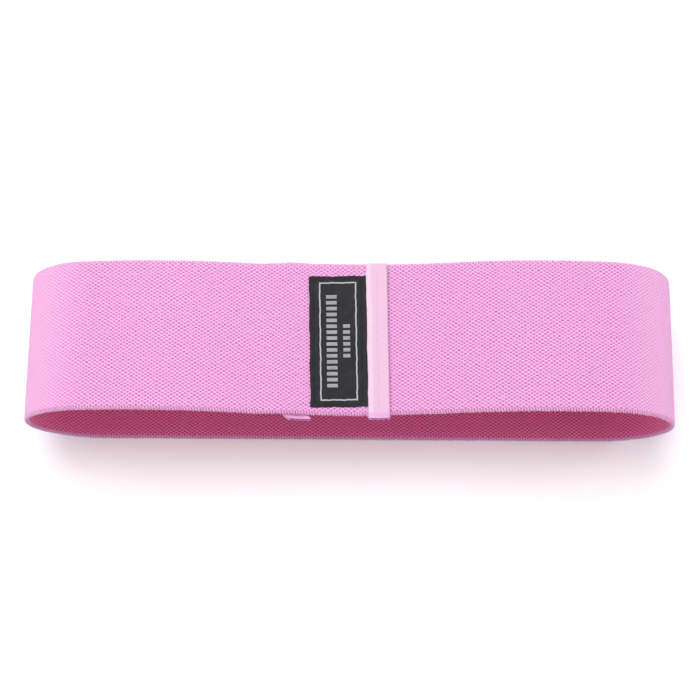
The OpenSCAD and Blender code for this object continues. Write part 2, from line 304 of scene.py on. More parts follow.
class Loop:
    """The middle line of the webbing. Distances along it count from the middle of the dip."""

    def __init__(self, loop, fabric):
        self.fabric = fabric
        self.sag = loop
        right, right_x = self.side("right")
        left, left_x = self.side("left")
        self.stretches = [
            (loop.dip_radius, loop.dip_left + loop.dip_right),
            right[1], right[2], right[3],
            (right_x + left_x, 0),
            left[3], left[2], left[1],
        ]
        reach_right = right_x + right[3][0]
        reach_left = left_x + left[3][0]
        middle = ((reach_left - reach_right) / 2, loop.rise + fabric.thickness / 2, 0)
        first = turned(middle, loop.dip_radius, -loop.dip_left)
        self.poses = walked(first, self.stretches)
        lengths = [stretch_length(g) for g in self.stretches]
        self.starts = np.cumsum([-loop.dip_radius * loop.dip_left] + lengths)
        self.length = sum(lengths)
        low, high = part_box("webbing")
        self.half_length = (high[0] - low[0]) / 2
        self.lay_out()

    def side(self, name):
        """Half of the loop, down to the floor, and how far off the dip it gets there."""
        loop = self.sag
        dip, crest, fall, bend, turn = (
            getattr(loop, part + "_" + name) for part in ("dip", "crest", "fall", "end", "turn"))
        upper = [(loop.dip_radius, dip), (crest, -dip - fall), (bend, -turn)]
        start = (0, loop.rise, 0)
        _, z, heading = walked(start, upper)[-1]
        half = upper + [(z / (1 + math.cos(heading)), -math.pi - heading)]
        return half, walked(start, half)[-1][0]

    def lay_out(self):
        """Where the plies, seams and label lie, as distances along and out from the line."""
        f = self.fabric
        self.outer_n = f.thickness + f.tape_thickness + f.ply_air
        self.face_n = self.outer_n + f.thickness / 2
        self.back_n = -f.thickness / 2
        lap = f.seam_inset + f.bare + f.label_width + f.ply_air + f.tape
        self.outer_end = f.lap_middle + lap / 2
        self.inner_end = f.lap_middle - lap / 2
        self.slope_top = self.inner_end - f.tape_thickness - f.slope_clear
        self.slope_foot = self.slope_top - f.slope
        self.strip_length = self.length + self.outer_end - self.inner_end
        self.outer_seam = self.outer_end - f.seam_inset
        self.inner_seam = self.inner_end + f.seam_inset
        self.label_right = self.outer_end - f.tape - f.ply_air
        self.label_left = self.label_right - f.label_width
        self.label_length = f.width - 2 * f.label_margin
        self.label_n = self.face_n + f.label_thickness
        self.label_y = -f.label_shift * f.rib
        self.sewn = (self.label_left + f.label_inset, self.label_right - f.label_inset)
        self.sewn_rows = self.gap_rows(self.label_length / 2 - f.label_end_inset)
        self.border = (self.sewn[0] + f.border_gap_width, self.sewn[1] - f.border_gap_width)
        self.border_y = self.sewn_rows[-1] - f.border_gap_length

    def gap_rows(self, reach):
        """Rows of needle holes across the band, each between two rubber threads."""
        f = self.fabric
        last = math.floor(reach / f.rib - 0.5) + 0.5
        stitches = math.floor(2 * last / f.stitch_ribs)
        rows = [(i * f.stitch_ribs - last) * f.rib for i in range(stitches + 1)]
        if stitches * f.stitch_ribs < 2 * last:
            rows.append(last * f.rib)
        return rows

    def poses_at(self, s):
        s = np.asarray(s, float)
        s = np.where(s >= self.starts[0] + self.length, s - self.length, s)
        out = np.empty((len(s), 3))
        for k, distance in enumerate(s):
            i = np.searchsorted(self.starts, distance, side="right")
            i = min(i, len(self.stretches)) - 1
            out[k] = pose_on(self.poses[i], self.stretches[i], distance - self.starts[i])
        return out

    def place(self, s, y, n):
        """Points in the frame, for distances along, across and out. Arrays of one shape."""
        s, y, n = np.broadcast_arrays(*(np.asarray(a, float) for a in (s, y, n)))
        keys, back = np.unique(s.ravel(), return_inverse=True)
        pose = self.poses_at(keys)[back.ravel()]
        y_flat, n_flat = y.ravel(), n.ravel()
        x = pose[:, 0] - n_flat * np.sin(pose[:, 2])
        z = pose[:, 1] + n_flat * np.cos(pose[:, 2])
        lift = self.lift(x, z) * (-y_flat / (self.fabric.width / 2))
        return np.stack([x, y_flat, z + lift], 1).reshape(*s.shape, 3)

    def joint(self, s, y, n):
        """As place(), for what lies on the outer end: it is cut and sewn a little askew."""
        f = self.fabric
        return self.place(s + f.joint_slant * y, y - f.offset, n)

    def sewn_on(self, s, y, n):
        """As place(), for the label and all that is on it."""
        f = self.fabric
        middle = (self.label_left + self.label_right) / 2
        return self.place(s + f.joint_slant * y, y + f.label_tilt * (s - middle), n)

    def inner(self, s, y, n):
        """As place(), for what lies on the inner end."""
        f = self.fabric
        return self.place(s + f.inner_slant * y, y + f.offset, n)

    def strip(self, s, y, n):
        """As place(), for the strip, whose two ends don't quite line up."""
        progress = (s - self.inner_end) / self.strip_length
        return self.place(s, y + self.fabric.offset * (1 - 2 * progress), n)

    def lift(self, x, z):
        """How much higher the near edge stands than the middle: the upper wall is twisted."""
        g = self.sag
        drop = (g.near_drop + g.skew * x / self.half_length
                + g.middle_drop * np.exp(-(x / g.middle_reach) ** 2))
        return -drop * eased(z / g.rise)

    def ply_n(self, s):
        """Depth of the strip's middle: it climbs the slope onto its own other end."""
        foot, top = self.length + self.slope_foot, self.length + self.slope_top
        return self.outer_n * eased((np.asarray(s) - foot) / (top - foot))


# ---------- small tools ----------
def the_band():
    """The loop, the fabric's sizes and the colours, as they are set now."""
    scene = bpy.context.scene
    return Loop(scene.band_loop, scene.band_fabric), scene.band_fabric, scene.band_colours


def new_mesh(name, points, faces, edges=()):
    mesh = bpy.data.meshes.new(name)
    mesh.from_pydata([tuple(p) for p in points], list(edges), [tuple(f) for f in faces])
    mesh.validate()
    return mesh


def new_object(name, data):
    made = bpy.data.objects.new(name, data)
    bpy.context.scene.collection.objects.link(made)
    return made


def new_piece(name, mesh, slot, *nodes):
    """An object of the band that rides on its body and stands for CAD nodes."""
    mesh.name = name
    piece = new_object(name, mesh)
    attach(piece, BODY)
    if nodes:
        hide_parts(*nodes)
    return piece


def grid_tube(rings, around, inside_out=False):
    """Quads of a closed tube of rings, with caps that pair the ring's two halves."""
    faces = []
    for i in range(rings - 1):
        for j in range(around):
            k = (j + 1) % around
            faces.append((i * around + j, (i + 1) * around + j,
                          (i + 1) * around + k, i * around + k))
    for base, flip in ((0, False), ((rings - 1) * around, True)):
        for j in range(around // 2 - 1):
            far = base + around - 1 - j
            quad = (base + j, base + j + 1, far - 1, far)
            faces.append(quad[::-1] if flip else quad)
    return [face[::-1] for face in faces] if inside_out else faces


def add_vector(mesh, name, values):
    """Stores a vector for each point of the mesh."""
    attribute = mesh.attributes.new(name, "FLOAT_VECTOR", "POINT")
    attribute.data.foreach_set("vector", np.ascontiguousarray(values, float).ravel())


def smooth(mesh):
    mesh.polygons.foreach_set("use_smooth", np.ones(len(mesh.polygons), bool))
    mesh.update()


def dimmed(value, share):
    """A colour times a share, which may be over 1."""
    return tuple(share * c for c in value)


def lifted(value, share):
    """A colour moved towards white."""
    return tuple(share + (1 - share) * c for c in value)


def waves(t, curve):
    """An unsteady curve: a few sines, with phases drawn from its seed."""
    seed, *parts = curve
    phases = np.random.default_rng(seed).uniform(0, 2 * math.pi, len(parts))
    return sum(a * np.sin(2 * math.pi * t / w + p) for (w, a), p in zip(parts, phases))


class Nodes:
    """Short ways to add and join the nodes of a tree."""

    def __init__(self, tree):
        self.tree = tree

    def put(self, socket, value):
        """Links a socket, or sets its value. A colour is given as three numbers."""
        if isinstance(value, bpy.types.NodeSocket):
            self.tree.links.new(value, socket)
        else:
            socket.default_value = (*value, 1.0) if socket.type == "RGBA" else value

    def add(self, kind, inputs, **settings):
        """The outputs of a new node. Its inputs go by name or by number."""
        node = self.tree.nodes.new(kind)
        for name, value in settings.items():
            setattr(node, name, value)
        for key, value in inputs.items():
            self.put(node.inputs[key], value)
        return node.outputs


# ---------- node trees for shapes ----------
class ShapeTree(Nodes):
    """A node tree that makes a mesh and paints it."""

    def __init__(self, name, **inputs):
        super().__init__(bpy.data.node_groups.new(name, "GeometryNodeTree"))
        self.socket("Geometry", "Geometry", "INPUT")
        for label, kind in inputs.items():
            self.socket(label, kind, "INPUT")
        self.socket("Geometry", "Geometry", "OUTPUT")
        self.start = self.add("NodeGroupInput", {})

    def socket(self, name, kind, way):
        self.tree.interface.new_socket(
            name=name, in_out=way, socket_type="NodeSocket" + kind)

    def attribute(self, name, kind):
        return self.add("GeometryNodeInputNamedAttribute", {"Name": name},
                        data_type=kind)["Attribute"]

    def finish(self, geometry):
        real = self.add("GeometryNodeRealizeInstances", {"Geometry": geometry})
        painted = self.add("GeometryNodeSetMaterial", {
            "Geometry": real["Geometry"], "Material": self.start["Material"]})
        self.add("NodeGroupOutput", {"Geometry": painted["Geometry"]})
        return self.tree


def relief_tree():
    """Pushes a strip's points out and in, by the height stored with each."""
    k = ShapeTree("weave_relief", Depth="Float", Material="Material")
    amount = k.add("ShaderNodeMath", {
        0: k.attribute("weave_height", "FLOAT"), 1: k.start["Depth"]}, operation="MULTIPLY")
    offset = k.add("ShaderNodeVectorMath", {
        0: k.attribute("outward", "FLOAT_VECTOR"), "Scale": amount[0]}, operation="SCALE")
    moved = k.add("GeometryNodeSetPosition", {
        "Geometry": k.start["Geometry"], "Offset": offset[0]})
    return k.finish(moved["Geometry"])


def thread_tree():
    """Makes a round thread along every chain of edges."""
    k = ShapeTree("thread", Radius="Float", Sides="Int", Material="Material")
    curve = k.add("GeometryNodeMeshToCurve", {"Mesh": k.start["Geometry"]})
    along = k.add("GeometryNodeSplineParameter", {})
    run = k.add("GeometryNodeStoreNamedAttribute", {
        "Geometry": curve["Curve"], "Name": "run", "Value": along["Length"],
    }, data_type="FLOAT", domain="POINT")
    ring = k.add("GeometryNodeCurvePrimitiveCircle", {
        "Radius": k.start["Radius"], "Resolution": k.start["Sides"]})
    tube = k.add("GeometryNodeCurveToMesh", {
        "Curve": run["Geometry"], "Profile Curve": ring["Curve"], "Fill Caps": True})
    even = k.add("GeometryNodeSetShadeSmooth", {"Geometry": tube["Mesh"]})
    return k.finish(even["Geometry"])


def grown(mesh, tree, values):
    """The plain mesh that a node tree makes from mesh, with its named inputs set."""
    carrier = new_object("carrier", mesh)
    modifier = carrier.modifiers.new("shape", "NODES")
    modifier.node_group = tree
    for item in tree.interface.items_tree:
        if item.item_type == "SOCKET" and item.in_out == "INPUT" and item.name in values:
            modifier[item.identifier] = values[item.name]
    bpy.context.view_layer.update()
    ready = carrier.evaluated_get(bpy.context.evaluated_depsgraph_get())
    made = bpy.data.meshes.new_from_object(ready)
    bpy.data.objects.remove(carrier)
    bpy.data.meshes.remove(mesh)
    return made


def threads(chains, radius, sides, material):
    """A mesh of round threads, one along each chain of points."""
    points, edges = [], []
    for chain in chains:
        base = len(points)
        points.extend(chain)
        edges.extend((base + i, base + i + 1) for i in range(len(chain) - 1))
    tree = bpy.data.node_groups.get("thread") or thread_tree()
    return grown(new_mesh("chains", points, (), edges), tree,
                 {"Radius": radius, "Sides": sides, "Material": material})


# ---------- materials ----------
class Shade(Nodes):
    """A material in the making."""

    def __init__(self, name):
        self.material = bpy.data.materials.get(name) or bpy.data.materials.new(name)
        self.material.use_nodes = True
        super().__init__(self.material.node_tree)
        self.tree.nodes.clear()
        self.where = self.add("ShaderNodeTexCoord", {})["Object"]
        self.weave = self.attribute("weave")["Vector"]
        self.normal = None

    def attribute(self, name):
        return self.add("ShaderNodeAttribute", {}, attribute_name=name)

    def math(self, operation, a, b=0.0, c=0.0, clamp=False):
        return self.add("ShaderNodeMath", {0: a, 1: b, 2: c},
                        operation=operation, use_clamp=clamp)[0]

    def wave(self, turn):
        """A sine between 0 and 1."""
        return self.math("MULTIPLY_ADD", self.math("SINE", turn), 0.5, 0.5)

    def ribs(self, value, pitch):
        return self.wave(self.math("MULTIPLY", value, 2 * math.pi / pitch))

    def noise(self, vector, scale, detail=2.0):
        return self.add("ShaderNodeTexNoise", {
            "Vector": vector, "Scale": scale, "Detail": detail})["Fac"]

    def stretched(self, vector, scale):
        return self.add("ShaderNodeVectorMath", {0: vector, 1: scale}, operation="MULTIPLY")[0]

    def ramp(self, value, low, high, to_low=0.0, to_high=1.0):
        """Goes smoothly from to_low at low to to_high at high."""
        inputs = dict(enumerate((value, low, high, to_low, to_high)))
        return self.add("ShaderNodeMapRange", inputs, interpolation_type="SMOOTHSTEP")[0]

    def mix(self, factor, a, b):
        return self.add("ShaderNodeMix", {0: factor, MIX_A: a, MIX_B: b},
                        data_type="RGBA")[MIX_OUT]

    def parts(self, vector):
        return self.add("ShaderNodeSeparateXYZ", {0: vector})

    def bump(self, height, distance, strength=0.8):
        self.normal = self.add("ShaderNodeBump", {
            "Height": height, "Distance": distance, "Strength": strength})[0]

    def finish(self, colour, roughness, sheen=0.0, sheen_tint=(1, 1, 1), **more):
        """Joins it up. more holds further inputs of the shader, by name with _ for a space."""
        named = {name.replace("_", " "): value for name, value in more.items()}
        shader = self.add("ShaderNodeBsdfPrincipled", {
            "Base Color": colour, "Roughness": roughness, "Normal": self.normal,
            "Sheen Weight": sheen, "Sheen Roughness": 0.5, "Sheen Tint": sheen_tint,
            "Specular IOR Level": 0.25, **named})
        self.add("ShaderNodeOutputMaterial", {"Surface": shader[0]})
        return self.material


def weave_material(colours):
    """Light yarn over a darker ground that shows in rows of small hollows, with painted highlight
    on the yarn's tops and painted shade on its flanks and in the hollows.
    """
    k = Shade("woven_elastic")
    # u counts columns and v counts ribs, and both drift a little
    u, v, face = k.parts(k.weave)
    inside = k.ramp(face, 0.0, -0.6)
    slow = k.stretched(k.weave, (0.5, 1.0, 7.0))
    u = k.math("ADD", u, k.math("MULTIPLY_ADD", k.noise(k.weave, 0.35, 1.0), 0.9, -0.45))
    v = k.math("ADD", v, k.math("MULTIPLY_ADD", k.noise(slow, 0.4, 1.0), 0.5, -0.25))
    lattice = k.math("MULTIPLY", k.math("COSINE", k.math("MULTIPLY", u, math.pi)),
                     k.math("COSINE", k.math("MULTIPLY", v, 2 * math.pi)))
    deep = k.math("MULTIPLY_ADD", k.noise(k.weave, 0.9, 1.0), 1.5, -0.1, clamp=True)
    hollow = k.math("MULTIPLY", k.ramp(lattice, 0.05, 0.75), deep)
    # The hollows fade where the loop bends at its two ends, partly as the weave opens and partly
    # as painted highlight, and are stronger inside, as painted shade
    at_end = k.ramp(k.math("ABSOLUTE", k.parts(k.where)[0]), END_FROM, END_TO)
    hollow = k.math("MULTIPLY", hollow, k.math("MULTIPLY_ADD", at_end, -0.6, 1.0))
    hollow = k.math("MULTIPLY", hollow, k.math("MULTIPLY_ADD", inside, 0.5, 1.0), clamp=True)
    fibre = k.noise(k.stretched(k.weave, (2.2, 9.0, 1.0)), 1.0, 3.0)
    # The float tops take the light yarn, the flanks the mid yarn and the hollows the dark ground:
    # the weave's own tones, with painted highlight on the tops and painted shade on the flanks and
    # in the hollows
    tone = k.ramp(lattice, -1.0, 0.6)
    tone = k.math("MULTIPLY_ADD", k.math("SUBTRACT", fibre, 0.5), 0.7, tone, clamp=True)
    # The inside face takes darker, redder colours, as painted shade and painted bounced light
    light = k.mix(inside, colours.light, colours.shaded_inside_light)
    mid = k.mix(inside, colours.mid, colours.shaded_inside_mid)
    base = k.mix(hollow, k.mix(tone, light, mid), colours.dark)
    base = k.mix(k.ramp(k.noise(k.where, 28.0, 3.0), 0.3, 0.7, 0.0, 0.10), base, mid)
    # Where the loop bends, the outer face pales: partly the opened weave, partly painted highlight
    pale = k.math("MULTIPLY", at_end, k.math("MULTIPLY_ADD", inside, -0.45, 0.45))
    base = k.mix(pale, base, colours.end_stretch_and_highlight)
    # The ground between the selvage yarns darkens round the rims, partly its own colour and partly
    # painted shade, and more at the near rim, as painted shade
    rim = k.ramp(k.math("ABSOLUTE", face), 0.9, 0.2, 0.0, 0.55)
    rim = k.math("MULTIPLY", rim, k.ramp(v, 8.0, -8.0, 0.35, 1.0))
    base = k.mix(rim, base, colours.rim)
    k.bump(k.math("MULTIPLY_ADD", lattice, -0.5, k.math("MULTIPLY", fibre, 0.45)), 0.00022)
    return k.finish(base, k.ramp(fibre, 0.2, 0.8, 0.72, 0.9), 0.25, colours.light)


def yarn_material(name, light, dark, twist, sheen=0.2, depth=0.00006):
    """A twisted thread: fine slanted strands along its run."""
    k = Shade(name)
    x, _, z = k.parts(k.where)
    turn = k.math("ADD", k.math("MULTIPLY", k.attribute("run")["Fac"], 2 * math.pi / twist),
                  k.math("MULTIPLY", k.math("ADD", x, z), 2 * math.pi / (1.4 * twist)))
    strand = k.wave(turn)
    fuzz = k.noise(k.where, 9000.0)
    patch = k.noise(k.where, 260.0)
    tone = k.math("MULTIPLY_ADD", k.math("SUBTRACT", patch, 0.5), 0.9,
                  k.math("MULTIPLY", k.math("ADD", strand, fuzz), 0.5), clamp=True)
    k.bump(k.math("ADD", strand, k.math("MULTIPLY", fuzz, 0.4)), depth)
    return k.finish(k.mix(tone, dark, light), 0.62, sheen, light)


def tape_material(name, tint, near_end_shade, near):
    """Fine ribbed tape, paler than the webbing. Past near, its rim, it darkens as painted shade.
    """
    k = Shade(name)
    u, v, _ = k.parts(k.weave)
    rib = k.ribs(v, TAPE_RIB)
    fibre = k.noise(k.where, 2400.0, 3.0)
    crease = k.noise(k.stretched(k.where, (1.0, 0.35, 1.0)), 160.0)
    tone = k.math("MULTIPLY_ADD", rib, 0.22, k.math("MULTIPLY", fibre, 0.5), clamp=True)
    tone = k.math("ADD", tone, k.ramp(crease, 0.5, 0.75, 0.0, 0.25), clamp=True)
    cloth = k.math("ADD", k.math("MULTIPLY", rib, k.ribs(u, TAPE_CROSS_RIB)),
                   k.math("MULTIPLY", fibre, 0.6))
    k.bump(k.math("MULTIPLY_ADD", crease, 2.2, cloth), 0.00010)
    pale = lifted(tint, 0.08)
    base = k.mix(tone, pale, tint)
    # A paler strip lies along the long edge of the outer leg, as a painted highlight where that
    # edge catches the light
    base = k.mix(k.ramp(u, 0.0034, 0.0022, 0.0, 0.35), base, lifted(tint, 0.5))
    # The near end darkens as painted shade
    base = k.mix(k.ramp(v, near + 0.0022, near + 0.0002, 0.0, 0.55), base, near_end_shade)
    return k.finish(base, 0.7, 0.25, pale)


def label_material(colours):
    """Dense satin ground of the label, with fine slanted ribs."""
    k = Shade("label_satin")
    u, v, _ = k.parts(k.weave)
    rib = k.ribs(k.math("MULTIPLY_ADD", u, 0.5, v), LABEL_RIB)
    fibre = k.noise(k.where, 3200.0, 3.0)
    worn = k.ramp(k.noise(k.where, 190.0, 3.0), 0.45, 0.75, 0.0, 0.5)
    tone = k.math("MULTIPLY_ADD", rib, 0.35, k.math("MULTIPLY", fibre, 0.35))
    tone = k.math("ADD", tone, worn, clamp=True)
    k.bump(k.math("ADD", rib, fibre), 0.00007)
    return k.finish(k.mix(tone, colours.label, colours.label_light), 0.6, 0.04)


def floor_material(colours):
    k = Shade("floor_paint")
    k.bump(k.noise(k.where, 900.0), 0.00003, 0.3)
    base = k.mix(k.noise(k.where, 3.0, 3.0), dimmed(colours.floor, 0.985), colours.floor)
    return k.finish(base, 0.85, Emission_Color=colours.floor, Emission_Strength=FLOOR_GLOW)


# ---------- the pieces ----------
def strip_section(f):
    """The webbing's outline, round from the outer face's near edge, and its rows.

    Each point is (across, out, face), where face is 1 outside, 0 round a rim and -1 inside.
    The faces have two points a rib, and rows counts them from the middle to the last.
    """
    rows = round((f.width / 2 - f.selvage) / (f.rib / 2))
    flat = [j * f.rib / 2 for j in range(-rows, rows + 1)]
    edge, reach, half = flat[-1], f.width / 2 - flat[-1], f.thickness / 2
    rim = np.radians([30, 60, 90, 120, 150])
    out = [(y, half, 1) for y in flat]
    out += [(edge + reach * math.sin(a), half * math.cos(a), 0) for a in rim]
    out += [(y, -half, -1) for y in reversed(flat)]
    out += [(-edge - reach * math.sin(a), -half * math.cos(a), 0) for a in rim]
    return np.array(out), rows


def column_stations(loop, f):
    """Where the weave's columns lie along the strip."""
    columns = round(loop.strip_length / f.column)
    return np.linspace(loop.inner_end, loop.length + loop.outer_end, columns + 1)


def build_webbing():
    """The woven strip, with every second point of its two faces sunk in."""
    loop, f, colours = the_band()
    section, rows = strip_section(f)
    y, n, face = section.T
    s = column_stations(loop, f)
    at_outer = np.clip(1 - (s[-1] - s) / SLANT_REACH, 0, 1)
    at_inner = np.clip(1 - (s - s[0]) / SLANT_REACH, 0, 1)
    slant = at_outer * f.joint_slant + at_inner * f.inner_slant
    askew = s[:, None] + slant[:, None] * y
    depth = loop.ply_n(s)[:, None] + n
    points = loop.strip(askew, y, depth)
    further = loop.strip(askew, y, depth + PROBE)
    outward = (further - points) / PROBE * np.where(face < 0, -1, 1)[:, None]
    row = np.round(y / (f.rib / 2)).astype(int)
    column = np.arange(len(s))[:, None]
    hollow = (column + row) % 2 == 0
    uneven = np.random.default_rng(WEAVE_SEED).uniform(0.65, 1.2, hollow.shape)
    height = np.where(hollow, -0.5, 0.5) * uneven
    height[:, face == 0] = 0
    height[:, np.abs(row) == rows] *= 0.4
    mesh = new_mesh("strip", points.reshape(-1, 3), weave_faces(hollow, face))
    add_vector(mesh, "weave", np.stack(np.broadcast_arrays(column, y / f.rib, face), 2))
    add_vector(mesh, "outward", outward)
    lift = mesh.attributes.new("weave_height", "FLOAT", "POINT")
    lift.data.foreach_set("value", height.ravel())
    made = grown(mesh, relief_tree(), {"Depth": f.relief, "Material": weave_material(colours)})
    smooth(made)
    new_piece("woven_strip", made, "webbing", "webbing")


def weave_faces(hollow, face):
    """Closed strip, where each face of the weave is split along its raised corners."""
    rings, around = hollow.shape
    faces = []
    for i in range(rings - 1):
        for j in range(around):
            k = (j + 1) % around
            a, b = i * around + j, (i + 1) * around + j
            c, d = (i + 1) * around + k, i * around + k
            if face[j] == 0 or face[k] == 0 or face[j] != face[k]:
                faces.append((a, b, c, d))
            elif hollow[i, j]:
                faces += [(a, b, d), (b, c, d)]
            else:
                faces += [(a, b, c), (a, c, d)]
    last = (rings - 1) * around
    return faces + [range(around), range(last + around - 1, last - 1, -1)]


def build_selvages():
    """Weft yarn that turns back round each rim, one turn a column."""
    loop, f, colours = the_band()
    edge = strip_section(f)[1] * f.rib / 2
    reach = f.width / 2 - edge
    stations = column_stations(loop, f)
    s = stations[1:-1]
    radius = f.column * 0.31
    turn = np.radians([0, 36, 68, 90, 112, 144, 180])
    lean = np.linspace(-0.5, 0.5, len(turn)) * f.column
    material = yarn_material("selvage_yarn", colours.selvage, colours.mid, twist=0.0005)
    for name, side in (("near_selvage", -1), ("far_selvage", 1)):
        grow = np.random.default_rng(SELVAGE_SEEDS[name]).uniform(0.94, 1.06, len(s))
        y = side * (edge + reach * np.sin(turn) * grow[:, None])
        n = loop.ply_n(s)[:, None] + (f.thickness / 2 - 0.5 * radius) * np.cos(turn)
        # Both ends of each turn sink into the webbing
        n[:, 0] -= 0.6 * radius
        n[:, -1] += 0.6 * radius
        chains = loop.strip(np.clip(s[:, None] + lean, stations[0], stations[-1]), y, n)
        new_piece(name, threads(chains, radius, SELVAGE_SIDES, material), "webbing")


def build_rubber():
    """The square rubber threads inside the webbing."""
    loop, f, colours = the_band()
    steps = math.floor((f.width / 2 - f.selvage) / f.rib)
    s = np.linspace(loop.inner_end, loop.length + loop.outer_end, RUBBER_POINTS)
    rows = [loop.strip(s, k * f.rib, loop.ply_n(s)) for k in range(-steps, steps + 1)]
    material = yarn_material("rubber_thread", colours.rubber, dimmed(colours.rubber, 0.8),
                             twist=0.003, sheen=0.0, depth=0.00002)
    mesh = threads(rows, f.rubber / math.sqrt(2), RUBBER_SIDES, material)
    new_piece("rubber_cores", mesh, "rubber", "rubber_threads")


def build_tape(name, node, place, end, edge, low, high, ends, tint):
    """Tape folded over an end, sewn down in a shallow groove.

    ends.loose and ends.far are how far its near and far ends stand past the rims. At the
    near end, lean shifts it sideways, flare widens it and corner rounds its corners.
    """
    _, f, colours = the_band()
    out = sign(end - edge)
    middle = (low + high) / 2
    fold_n = (high - low) / 2
    leg = np.linspace(edge, end, LEG_POINTS)
    bend = np.radians(np.linspace(90, -90, FOLD_POINTS)[1:-1])

    def profile(thick, fold):
        """One face of the folded tape, thick from the webbing and fold past its end."""
        return [(s, high + thick) for s in leg] + [
            (end + out * fold * math.cos(a), middle + (fold_n + thick) * math.sin(a))
            for a in bend] + [(s, low - thick) for s in reversed(leg)]

    outer = profile(f.tape_thickness, f.tape_thickness)
    ring = np.array(outer + profile(0, FOLD_GAP)[::-1])
    along, depth = ring.T
    near = -f.width / 2 - ends.loose
    far = f.width / 2 + ends.far
    tip = near + ends.corner * (1 - np.cos(np.linspace(0, math.pi / 2, CORNER_POINTS)[:-1]))
    y = np.concatenate([tip, np.linspace(near + ends.corner, far, TAPE_POINTS)])[:, None]
    # share is 0 at the fold and 1 at the tape's long edges, and side is 1 on the outer leg
    share = np.abs(along - end) / abs(edge - end)
    side = np.where(depth > middle, 1.0, -1.0)
    s = along + waves(y, TAPE_EDGE) * TAPE_WAVER * share
    # The loose end lifts off, rumples, leans and flares
    past = (-y - f.width / 2 + TAPE_LIFT_FROM) / (ends.loose + TAPE_LIFT_FROM)
    past = np.clip(past, 0, 1) ** 2
    n = depth + past * (TAPE_LIFT * side + RUMPLE_DEPTH * waves(along, TAPE_RUMPLE))
    s += past * ((ends.lean + ends.flare * share) * -out)
    to_tip = np.clip(1 - (y - near) / ends.corner, 0, 1)
    s += ends.corner * (1 - np.sqrt(1 - to_tip ** 2)) * (out * (share * 2 - 1))
    # Each leg is crowned, and its seam pulls it down in waves of one stitch
    crown = np.sin(math.pi * np.clip(share, 0, 1)) * TAPE_CROWN
    seam = end - out * f.seam_inset
    groove = f.groove * np.exp(-((along - seam) / GROOVE_REACH) ** 2)
    pucker = 1 + 0.5 * np.cos(y * 2 * math.pi / (f.stitch_ribs * f.rib))
    shown = np.where(np.arange(len(ring)) < len(outer), side, 0)
    n += shown * crown - pucker * (shown * groove)
    faces = grid_tube(len(y), len(ring), inside_out=out > 0)
    mesh = new_mesh(name, place(s, y, n).reshape(-1, 3), faces)
    round_tape = np.concatenate([[0], np.cumsum(np.hypot(*np.diff(ring, axis=0).T))])
    add_vector(mesh, "weave", np.stack(np.broadcast_arrays(round_tape, y, 0.0), 2))
    smooth(mesh)
    # colours.mid is the painted shade at the tape's near end
    mesh.materials.append(tape_material(name, tint, colours.mid, -f.width / 2))
    new_piece(name, mesh, "binding", node)


def build_bindings():
    """The tape on each end of the strip."""
    loop, f, colours = the_band()
    build_tape("outer_tape", "outer_binding", loop.joint, loop.outer_end,
               loop.outer_end - f.tape, loop.outer_n - f.thickness / 2, loop.face_n,
               OUTER_ENDS, colours.tape)
    # The inner tape's colour is darkened as painted shade
    build_tape("inner_tape", "inner_binding", loop.inner, loop.inner_end,
               loop.inner_end + f.tape, loop.back_n, -loop.back_n,
               INNER_ENDS, colours.inner_tape)


def arches(place, holes, rise, depth, side):
    """One arched stitch between each pair of neighbouring holes."""
    shares = np.linspace(0, 1, STITCH_POINTS)[:, None]
    # The power makes it climb steeply from its holes
    arch = np.sin(math.pi * shares[:, 0]) ** 0.6
    chains = []
    for start, end in zip(np.array(holes[:-1]), np.array(holes[1:])):
        s, y, n = (start + (end - start) * shares).T
        chains.append(place(s, y, n + side * (rise * arch - depth * (1 - arch))))
    return chains


def sew(run, place, holes, depth, side, radius, material, slot):
    """One of the two threads of a seam, named by its run."""
    chains = arches(place, holes, radius * 0.9, depth, side)
    mesh = threads(chains, radius, SEWING_SIDES, material)
    new_piece(run + "_stitches", mesh, slot, run + "_thread")


def build_seams():
    """The needle and the bobbin thread of the seam through each tape."""
    loop, f, colours = the_band()
    rows = loop.gap_rows(f.width / 2 - f.selvage)
    material = yarn_material("seam_thread", colours.thread, dimmed(colours.thread, 0.8),
                             twist=0.0007, depth=0.00003)
    on_tape = f.tape_thickness - f.groove
    for run, place, s, n, side in (
        ("outer_seam_needle", loop.joint, loop.outer_seam, loop.face_n + on_tape, 1),
        ("outer_seam_bobbin", loop.joint, loop.outer_seam, loop.back_n, -1),
        ("inner_seam_needle", loop.inner, loop.inner_seam, loop.face_n, 1),
        ("inner_seam_bobbin", loop.inner, loop.inner_seam, loop.back_n - on_tape, -1),
    ):
        sew(run, place, [(s, y, n) for y in rows], SEAM_BITE, side,
            f.seam_thread / 2, material, "seam_thread")


def label_height(loop, f, s, y):
    """Depth of the label's upper face: a soft pillow, pulled down along its stitches."""
    from_side = np.minimum(s - loop.label_left, loop.label_right - s)
    from_end = loop.label_length / 2 - np.abs(y - loop.label_y)
    edge = np.minimum(from_side, from_end)
    pull = np.exp(-((edge - f.label_inset) / PULL_REACH) ** 2)
    ripple = waves(y, LABEL_RIPPLE) * np.exp(-(edge / WAVE_REACH) ** 2)
    middle = np.clip(edge / BULGE_REACH, 0, 1)
    return loop.label_n + LABEL_BULGE * middle - LABEL_PULL * pull + LABEL_WAVE * ripple


